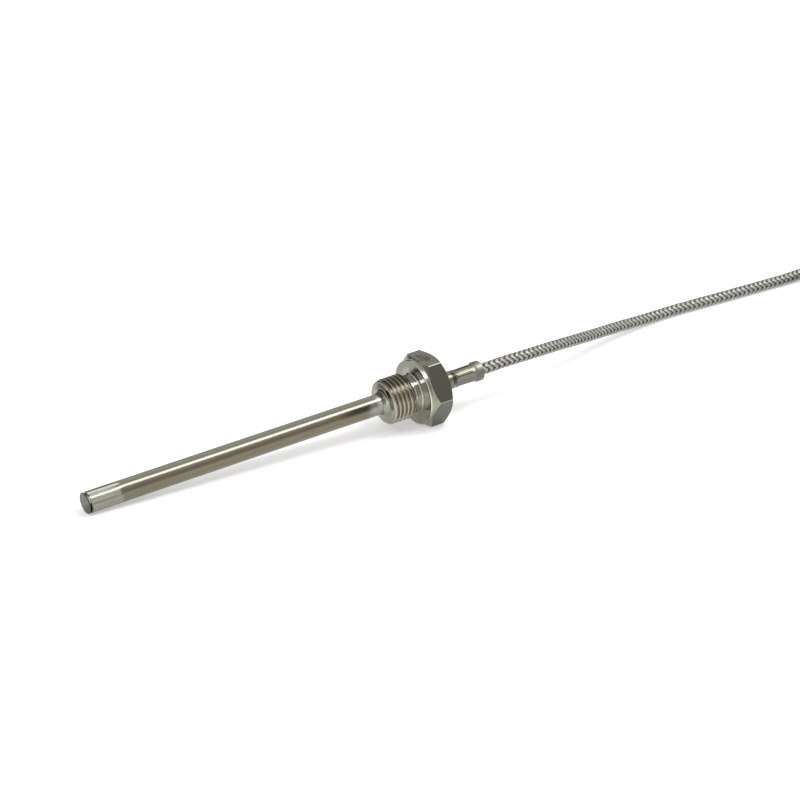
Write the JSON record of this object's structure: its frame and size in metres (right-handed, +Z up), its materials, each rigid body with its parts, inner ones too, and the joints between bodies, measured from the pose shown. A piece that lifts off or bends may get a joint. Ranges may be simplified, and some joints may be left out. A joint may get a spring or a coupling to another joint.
{
  "type": "cable resistance thermometer with screw-in hexagon head",
  "caption": "Slim metal temperature probe brazed into a screw-in hexagon head, its rear end crimped on a metal-braided cable that ends in free leads.",
  "frame": {"origin": "middle of the footprint of the probe without its cable, on the surface that it lies on", "axes": "+X along the probe from its tip to its cable, seen from above; +Z up; the probe's own axis rises 3.59 degrees towards the cable"},
  "size_m": [0.3171, 0.0558, 0.0193],
  "materials": {
    "sheath": "stainless tube, straw to brown heat tint, ground pale near the tip",
    "plug": "turned stainless, fine scratches",
    "weld": "dull weld metal",
    "fitting": "turned and milled stainless, satin, faint brown heat tint",
    "braze": "smooth silver braze",
    "ceramic": "glazed ceramic",
    "platinum_lead": "drawn platinum alloy wire",
    "powder": "packed oxide powder",
    "cement": "matt ceramic cement",
    "joint_braze": "brazed joint",
    "glass_yarn": "woven glass yarn",
    "conductor": "stranded nickel-plated copper",
    "white_insulation": "smooth insulation",
    "red_insulation": "smooth insulation",
    "jacket": "thin inner jacket",
    "braid": "bright stainless wire braid",
    "tie": "natural nylon",
    "end_sleeve": "shrunk-on sleeve, satin black",
    "ferrule": "tin-plated"
  },
  "bodies": {
    "root": {"sheath_tube": "sheath", "tip_plug": "plug", "tack_weld": "weld", "screw_fitting": "fitting", "braze_fillet": "braze", "sensing_element": "ceramic", "element_lead_1": "platinum_lead", "element_lead_2": "platinum_lead", "powder_fill": "powder", "cement_seal": "cement", "lead_joint_1": "joint_braze", "lead_joint_2": "joint_braze", "joint_sleeve_1": "glass_yarn", "joint_sleeve_2": "glass_yarn", "lining_sleeve": "glass_yarn", "core_wire_1": "conductor", "core_wire_2": "conductor", "core_wire_3": "conductor", "core_insulation_1": "white_insulation", "core_insulation_2": "red_insulation", "core_insulation_3": "red_insulation", "cable_jacket_end": "jacket", "cable_braid_end": "braid", "cable": "braid", "cable_coil": "braid", "coil_ties": "tie", "end_sleeve": "end_sleeve", "tail_lead_1": "red_insulation", "tail_lead_2": "white_insulation", "tail_lead_3": "red_insulation", "lead_ferrules": "ferrule"}
  },
  "joints": []
}
